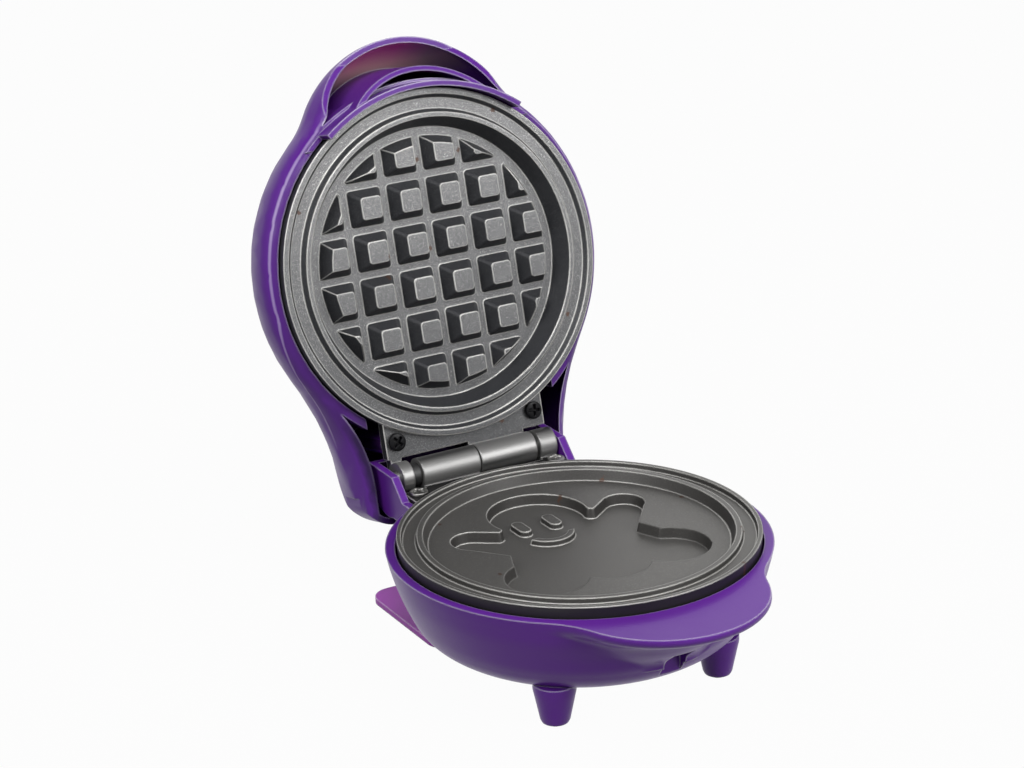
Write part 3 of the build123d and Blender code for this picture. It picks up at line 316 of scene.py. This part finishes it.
def coated_casting(name, wall, dark, light, fleck_share, face_axis, hinge_shade, residue_along, lower=False):
    """Non-stick coating, speckled on the level faces and plain on the steep ones, with pale edges that are
    part rubbed wear and part painted highlight, and painted shade towards the hinge and on the skirt.
    """
    f = Finish(name, IOR=1.5, Specular_IOR_Level=0.45)
    place = f.where()
    x, y, z = f.axes(place)
    reach = ((y - HINGE_AT.y) ** 2.0 + (z - HINGE_AT.z) ** 2.0).root()
    barrel = reach.below(BARREL_R)
    level = f.spread(f.dot(f.facing(), face_axis), 0.80, 0.97)
    grain = f.noise(place, 3400.0, 4.0, 0.8)
    fleck = f.spread(grain, 0.60 - fleck_share, 0.72 - fleck_share) * (0.2 + 0.8 * level)
    cloud = f.noise(place, 55.0, 3.0)
    # Painted shade: the level faces and flecks are darker towards the hinge.
    hinge_shade_fade = f.spread(reach, 0.0, hinge_shade[0], hinge_shade[1], 1.0)
    edge, rounded = f.edges(0.8 * MM)
    # Pale edges: part rubbed wear, part painted highlight.
    edge_wear_and_highlight = f.spread(edge, 0.006, 0.08) * (0.15 + 1.1 * cloud)
    coat = f.blend(level * hinge_shade_fade, wall, dark)
    coat = f.blend(fleck * hinge_shade_fade * (0.45 + 0.8 * cloud), coat, light)
    if lower:
        from_middle = (x ** 2.0 + (y - LOWER_MIDDLE_Y) ** 2.0).root()
        # The painted edge highlight is weaker on the near half of the sunk floor.
        near_floor = f.spread(from_middle, *FLOOR_R) * f.spread(y, *NEAR_HALF_Y)
        edge_wear_and_highlight = edge_wear_and_highlight * 0.8 * (1.0 - 0.85 * near_floor)
        # Painted shade: the skirt below the plate's edge is near black.
        coat = f.blend(from_middle.above(SKIRT_R), coat, colour(0.018, 0.017, 0.018))
    coat = f.blend(edge_wear_and_highlight, coat, colour(0.86, 0.85, 0.81))
    coat = batter_residue(f, place, coat, residue_along)
    f.feed("Base Color", f.blend(barrel, coat, colour(0.22, 0.218, 0.215)))
    f.feed("Metallic", 0.22 + 0.36 * level + 0.36 * barrel)
    f.feed("Roughness", 0.38 + 0.16 * grain - 0.06 * fleck - 0.06 * edge_wear_and_highlight - 0.06 * barrel)
    sand = f.noise(place, 1500.0, 3.0, 0.65)
    turned = f.noise(f.vector("MULTIPLY", place, (60.0, 900.0, 900.0)), 1.0)
    height = sand * (1.0 - 0.8 * barrel) + turned * barrel * 0.3
    f.feed("Normal", f.bump(height, 0.00009, 0.55, rounded))
    return f.material


def drawn_metal(name, tone, stretch, roughness=0.25, metallic=1.0, specular=0.5):
    """Metal with a little staining and fine grain, drawn into lines where the stretch is uneven."""
    f = Finish(name, Specular_IOR_Level=specular)
    place = f.where()
    lines = f.noise(f.vector("MULTIPLY", place, stretch), 1.0, 3.0)
    stain = f.noise(place, 160.0, 3.0)
    darker = tuple(0.72 * c for c in tone[:3]) + (1.0,)
    f.feed("Base Color", f.blend(f.spread(stain, 0.35, 0.7), tone, darker))
    f.feed("Metallic", metallic - 0.1 * stain)
    f.feed("Roughness", roughness + 0.22 * lines)
    f.feed("Normal", f.bump(lines, 0.00002, 0.5))
    return f.material


def grained_moulding(name, tone, paler, roughness, size=1400.0):
    """Matt moulding, rubber or ceramic, with a fine grain."""
    f = Finish(name)
    place = f.where()
    grain = f.noise(place, size, 3.0, 0.6)
    patch = f.noise(place, 120.0)
    f.feed("Base Color", f.blend(f.spread(patch, 0.35, 0.7), tone, paler))
    f.feed("Roughness", roughness + 0.2 * grain)
    f.feed("Normal", f.bump(grain, 0.00005, 0.5))
    return f.material


def lens_finish(name):
    """Clear red moulding with small cells that scatter the lamp behind it."""
    f = Finish(name, IOR=1.49, Transmission_Weight=0.35, Coat_Weight=0.5)
    cell = f.node("ShaderNodeTexVoronoi", None, {"Vector": f.where(), "Scale": 900.0}, out="Distance")
    f.feed("Base Color", f.blend(cell, colour(0.62, 0.03, 0.02), colour(0.82, 0.12, 0.05)))
    f.feed("Roughness", 0.12 + 0.2 * cell)
    f.feed("Normal", f.bump(cell, 0.00008, 0.4))
    return f.material


PURPLE_DEEP = colour(0.088, 0.014, 0.225)
PURPLE_BRIGHT = colour(0.112, 0.019, 0.275)
MAUVE_DEEP = colour(0.34, 0.040, 0.42)
MAUVE_BRIGHT = colour(0.39, 0.050, 0.47)
EVEN_GRAIN = (700.0, 700.0, 700.0)

purple_base = moulded_purple("purple_base", PURPLE_DEEP, PURPLE_BRIGHT, base_insides)
purple_lid = moulded_purple("purple_lid", PURPLE_DEEP, PURPLE_BRIGHT, lid_insides)
purple_foot = moulded_purple("purple_foot", MAUVE_DEEP, MAUVE_BRIGHT, specular=0.12)
upper_coating = coated_casting(
    "upper_coating",
    wall=colour(0.030, 0.031, 0.035),
    dark=colour(0.150, 0.150, 0.152),
    light=colour(0.84, 0.835, 0.82),
    fleck_share=0.06,
    face_axis=tuple(-c for c in LID_INWARD),
    hinge_shade=(0.14, 0.30),
    residue_along=LID_ALONG,
)
lower_coating = coated_casting(
    "lower_coating",
    wall=colour(0.038, 0.036, 0.034),
    dark=colour(0.112, 0.109, 0.104),
    light=colour(0.36, 0.355, 0.34),
    fleck_share=0.04,
    face_axis=(0.0, 0.0, 1.0),
    hinge_shade=(0.01, 0.9),
    residue_along=(0.0, 1.0, 0.0),
    lower=True,
)
turned_steel = drawn_metal("turned_steel", colour(0.50, 0.50, 0.49), (80.0, 1500.0, 1500.0), 0.28)
sheathed_tube = drawn_metal("sheathed_tube", colour(0.30, 0.285, 0.26), (300.0, 300.0, 300.0), 0.4)
bright_sheet = drawn_metal("bright_sheet", colour(0.82, 0.82, 0.82), (1200.0, 60.0, 60.0), 0.22)
zinc_plate = drawn_metal("zinc_plate", colour(0.60, 0.60, 0.58), EVEN_GRAIN)
nickel_plate = drawn_metal("nickel_plate", colour(0.27, 0.265, 0.255), EVEN_GRAIN)
black_oxide = drawn_metal("black_oxide", colour(0.004, 0.004, 0.005), EVEN_GRAIN, 0.20, 0.1, 0.14)
clamp_brass = drawn_metal("clamp_brass", colour(0.62, 0.44, 0.16), EVEN_GRAIN, 0.3)
dark_phenolic = grained_moulding(
    "dark_phenolic", tone=colour(0.035, 0.028, 0.024), paler=colour(0.055, 0.044, 0.036), roughness=0.4
)
black_acetal = grained_moulding(
    "black_acetal", tone=colour(0.012, 0.012, 0.012), paler=colour(0.022, 0.022, 0.023), roughness=0.35
)
black_rubber = grained_moulding(
    "black_rubber", tone=colour(0.02, 0.02, 0.02), paler=colour(0.035, 0.035, 0.034), roughness=0.7
)
glazed_ceramic = grained_moulding(
    "glazed_ceramic", tone=colour(0.74, 0.71, 0.64), paler=colour(0.80, 0.78, 0.72), roughness=0.2, size=700.0
)
indicator_red = lens_finish("indicator_red")

FINISH_OF = {
    "base_housing": purple_base,
    "lid_housing": purple_lid,
    "rear_foot": purple_foot,
    "lower_plate": lower_coating,
    "upper_plate": upper_coating,
    "hinge_pin": turned_steel,
    "hinge_spacer": black_acetal,
    "lower_heating_element": sheathed_tube,
    "upper_heating_element": sheathed_tube,
    "lower_heat_reflector": bright_sheet,
    "upper_heat_reflector": bright_sheet,
    "lower_reflector_screw": zinc_plate,
    "upper_reflector_screw": zinc_plate,
    "lower_thermostat": dark_phenolic,
    "upper_thermostat": dark_phenolic,
    "terminal_block": glazed_ceramic,
    "terminal_screw_left": clamp_brass,
    "terminal_screw_right": clamp_brass,
    "lower_plate_screw_left": zinc_plate,
    "lower_plate_screw_right": zinc_plate,
    "upper_plate_screw_left": black_oxide,
    "upper_plate_screw_right": black_oxide,
    "foot_screw_left": zinc_plate,
    "foot_screw_right": zinc_plate,
    "front_pad_left": black_rubber,
    "front_pad_right": black_rubber,
    "cord_gland": black_rubber,
    "thermal_fuse": bright_sheet,
    "fuse_clip": zinc_plate,
    "indicator_lens": indicator_red,
}
for name, finish in FINISH_OF.items():
    mesh = nodes[name].data
    mesh.materials.clear()
    mesh.materials.append(finish)

# Rounded edges on the moulded and cast pieces, widths in millimetres.
EDGE_ROUNDING = {
    "base_housing": 0.45,
    "lid_housing": 0.45,
    "rear_foot": 0.5,
    "lower_plate": 0.35,
    "upper_plate": 0.35,
}
for name, width in EDGE_ROUNDING.items():
    weld = nodes[name].modifiers.new("weld", "WELD")
    weld.merge_threshold = 0.002 * MM
    bevel = nodes[name].modifiers.new("edge_rounding", "BEVEL")
    bevel.width = width * MM
    bevel.segments = 2
    bevel.limit_method = "ANGLE"
    bevel.angle_limit = math.radians(34)
    bevel.harden_normals = False
    shading = nodes[name].modifiers.new("level_shading", "WEIGHTED_NORMAL")
    shading.mode = "FACE_AREA"
    shading.keep_sharp = True


# Mesh code shared by the screws and the stage
def ring_of_points(bm, radius, height, around):
    """Points round the Z axis, or its own point repeated where the radius is nothing."""
    if radius == 0:
        return [bm.verts.new((0, 0, height))] * around
    turns = [2 * math.pi * j / around for j in range(around)]
    return [bm.verts.new((radius * math.cos(a), radius * math.sin(a), height)) for a in turns]


def skin_between(bm, first, second):
    """Faces from one ring to the next; the first may be one point repeated."""
    for j in range(len(first)):
        k = (j + 1) % len(first)
        if first[j] == first[k]:
            bm.faces.new((first[j], second[j], second[k]))
        else:
            bm.faces.new((first[j], second[j], second[k], first[k]))


def smooth_piece(bm, name, finish):
    """The finished mesh as an object in the scene, shaded smooth."""
    for face in bm.faces:
        face.smooth = True
    mesh = bpy.data.meshes.new(name)
    bm.to_mesh(mesh)
    bm.free()
    mesh.materials.append(finish)
    return put_in_scene(name, mesh)


def put_in_scene(name, data):
    holder = bpy.data.objects.new(name, data)
    bpy.context.scene.collection.objects.link(holder)
    return holder


# Screws with a cross recess
HEAD_R = 3.1 * MM
HEAD_H = 1.6 * MM
SHANK_R = 1.45 * MM
SHANK_LEN = 7.0 * MM
HEAD_RINGS, HEAD_AROUND = 22, 64


def ramp_down(value, edge, width):
    """1 well below the edge, 0 well above it, and a straight slope of the given width between."""
    return max(0.0, min(1.0, (edge - value) / width + 0.5))


def recessed_height(x, y, r):
    """Height of the domed head at a point, less the depth of its cross recess."""
    dome = HEAD_H * (0.72 + 0.28 * math.sqrt(max(0.0, 1 - (r / HEAD_R) ** 2)))
    across, outward = sorted((abs(x), abs(y)))
    inside = ramp_down(across, HEAD_R * 0.15, HEAD_R * 0.06)
    inside *= ramp_down(outward, HEAD_R * 0.64, HEAD_R * 0.12)
    return dome - HEAD_H * 0.85 * inside


def cross_head_screw(name, seat, axis, turn, finish, body, node):
    """A domed screw head with a cross recess over its plain shank, seated at a point."""
    bm = bmesh.new()
    last = None
    for i in range(HEAD_RINGS + 1):
        ring = ring_of_points(bm, HEAD_R * i / HEAD_RINGS, 0.0, HEAD_AROUND)
        for point in ring:
            point.co.z = recessed_height(point.co.x, point.co.y, HEAD_R * i / HEAD_RINGS)
        if last:
            skin_between(bm, last, ring)
        last = ring
    outline = (
        (HEAD_R, HEAD_H * 0.1),
        (HEAD_R * 0.97, 0.0),
        (SHANK_R, 0.0),
        (SHANK_R, -SHANK_LEN + SHANK_R * 0.5),
        (SHANK_R * 0.5, -SHANK_LEN),
    )
    for radius, height in outline:
        ring = ring_of_points(bm, radius, height, HEAD_AROUND)
        skin_between(bm, last, ring)
        last = ring
    bm.faces.new(list(reversed(last)))
    bmesh.ops.recalc_face_normals(bm, faces=bm.faces)
    piece = smooth_piece(bm, name, finish)
    upright = Vector(axis).to_track_quat("Z", "Y").to_matrix().to_4x4()
    piece.data.transform(Matrix.Translation(seat) @ upright @ Matrix.Rotation(turn, 4, "Z"))
    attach(piece, body)
    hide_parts(node)


LID_OUTWARD = -Vector(LID_INWARD)
for side, turn in (("left", 0.35), ("right", 1.05)):
    node = f"lower_plate_screw_{side}"
    low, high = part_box(node)
    seat = Vector(((low.x + high.x) / 2, (low.y + high.y) / 2, high.z - HEAD_H))
    cross_head_screw(f"lower_cross_screw_{side}", seat, (0, 0, 1), turn, nickel_plate, "base", node)
    node = f"upper_plate_screw_{side}"
    low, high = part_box(node)
    seat = (low + high) / 2 + LID_OUTWARD * ((SHANK_LEN - HEAD_H) / 2)
    cross_head_screw(f"upper_cross_screw_{side}", seat, LID_OUTWARD, turn + 0.4, black_oxide, "lid", node)


# Floor, backdrop, light and camera
FLOOR_REACH = 1.8
CORNER_R = 0.6
CORNER_STEPS = 8
BACKDROP_TOP = 3.0


def stage_finish(name):
    """Plain white stage that shows white to the camera and keeps the object's soft shadow."""
    f = Finish(name, Roughness=0.9, Base_Color=colour(0.20, 0.20, 0.20))
    rays = f.node("ShaderNodeLightPath").socket.node.outputs
    shown_to = ("Is Camera Ray", "Is Glossy Ray", "Is Transmission Ray")
    camera, glossy, transmitted = [Value(f, rays[kind]) for kind in shown_to]
    white = f.node("ShaderNodeEmission", None, {"Color": colour(1, 1, 1), "Strength": 1.0})
    whiteness = (camera + glossy + transmitted).at_most(1.0) * 0.97
    lit = Value(f, f.surface.outputs[0])
    mixed = f.node("ShaderNodeMixShader", None, {0: whiteness, 1: lit, 2: white})
    f.tree.links.new(mixed.socket, f.output.inputs[0])
    return f.material


def stage_sweep():
    """Floor that curves up into a backdrop all round."""
    profile = [(FLOOR_REACH * step / 3, 0.0) for step in range(4)]
    for k in range(1, CORNER_STEPS + 1):
        a = math.pi / 2 * k / CORNER_STEPS
        profile.append((FLOOR_REACH + CORNER_R * math.sin(a), CORNER_R - CORNER_R * math.cos(a)))
    profile.append((FLOOR_REACH + CORNER_R, BACKDROP_TOP))
    bm = bmesh.new()
    rings = [ring_of_points(bm, radius, height, 96) for radius, height in profile]
    for first, second in zip(rings, rings[1:]):
        skin_between(bm, first, second)
    smooth_piece(bm, "stage_sweep", stage_finish("stage_white"))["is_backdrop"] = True


def softbox(name, place, aim, width, height, power):
    lamp = bpy.data.lights.new(name, "AREA")
    lamp.shape = "RECTANGLE"
    lamp.size = width
    lamp.size_y = height
    lamp.energy = power
    holder = put_in_scene(name, lamp)
    holder.location = place
    holder.rotation_mode = "QUATERNION"
    holder.rotation_quaternion = (Vector(aim) - Vector(place)).to_track_quat("-Z", "Y")


def studio_world():
    world = bpy.data.worlds.new("studio")
    bpy.context.scene.world = world
    world.use_nodes = True
    tree = world.node_tree
    tree.nodes.clear()
    output = tree.nodes.new("ShaderNodeOutputWorld")
    air = tree.nodes.new("ShaderNodeBackground")
    air.inputs["Color"].default_value = colour(1.0, 1.0, 1.0)
    air.inputs["Strength"].default_value = 0.08
    tree.links.new(air.outputs[0], output.inputs[0])


# Where the photograph's camera stands: its angles, what it aims at, how far off it is, and its lens
# as a focal length in pixels of a picture 1024 pixels wide.
AZIMUTH, ELEVATION, ROLL = math.radians(-29.566), math.radians(20.604), math.radians(-1.654)
CAMERA_AIM = Vector((15.887 * MM, HINGE_AT.y - 0.232 * MM, 72.395 * MM))
CAMERA_REACH = 939.6 * MM
FOCAL_PIXELS = 2700.0
PICTURE_PIXELS = 1024.0
SENSOR_WIDTH = 36.0


def photo_camera():
    """Camera at the photograph's place, angle and framing."""
    level = math.cos(ELEVATION)
    back = Vector((math.sin(AZIMUTH) * level, -math.cos(AZIMUTH) * level, math.sin(ELEVATION)))
    across = Vector((0, 0, 1)).cross(back).normalized()
    upward = back.cross(across)
    right = across * math.cos(ROLL) + upward * math.sin(ROLL)
    top = upward * math.cos(ROLL) - across * math.sin(ROLL)
    data = bpy.data.cameras.new("photo_camera")
    data.sensor_width = SENSOR_WIDTH
    data.sensor_fit = "HORIZONTAL"
    data.lens = FOCAL_PIXELS / PICTURE_PIXELS * SENSOR_WIDTH
    data.clip_start = 0.05
    data.clip_end = 20.0
    holder = put_in_scene("photo_camera", data)
    turn = Matrix((right, top, back)).transposed().to_4x4()
    holder.matrix_world = Matrix.Translation(CAMERA_AIM + back * CAMERA_REACH) @ turn
    bpy.context.scene.camera = holder


stage_sweep()
softbox("key_front_right", (0.55, -1.00, 0.75), aim=(0, 0.02, 0.11), width=0.55, height=0.75, power=9.0)
softbox("top_front", (-0.10, -0.55, 1.15), aim=(0, 0.02, 0.08), width=0.7, height=0.5, power=9.0)
softbox("side_left", (-0.98, -0.42, 0.95), aim=(0, 0.02, 0.10), width=0.5, height=0.8, power=9.0)
softbox("rim_rear", (0.55, 0.95, 0.85), aim=(0, 0.02, 0.08), width=0.8, height=0.5, power=1.0)
studio_world()
photo_camera()
bpy.context.scene.view_settings.view_transform = "Standard"

low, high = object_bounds()
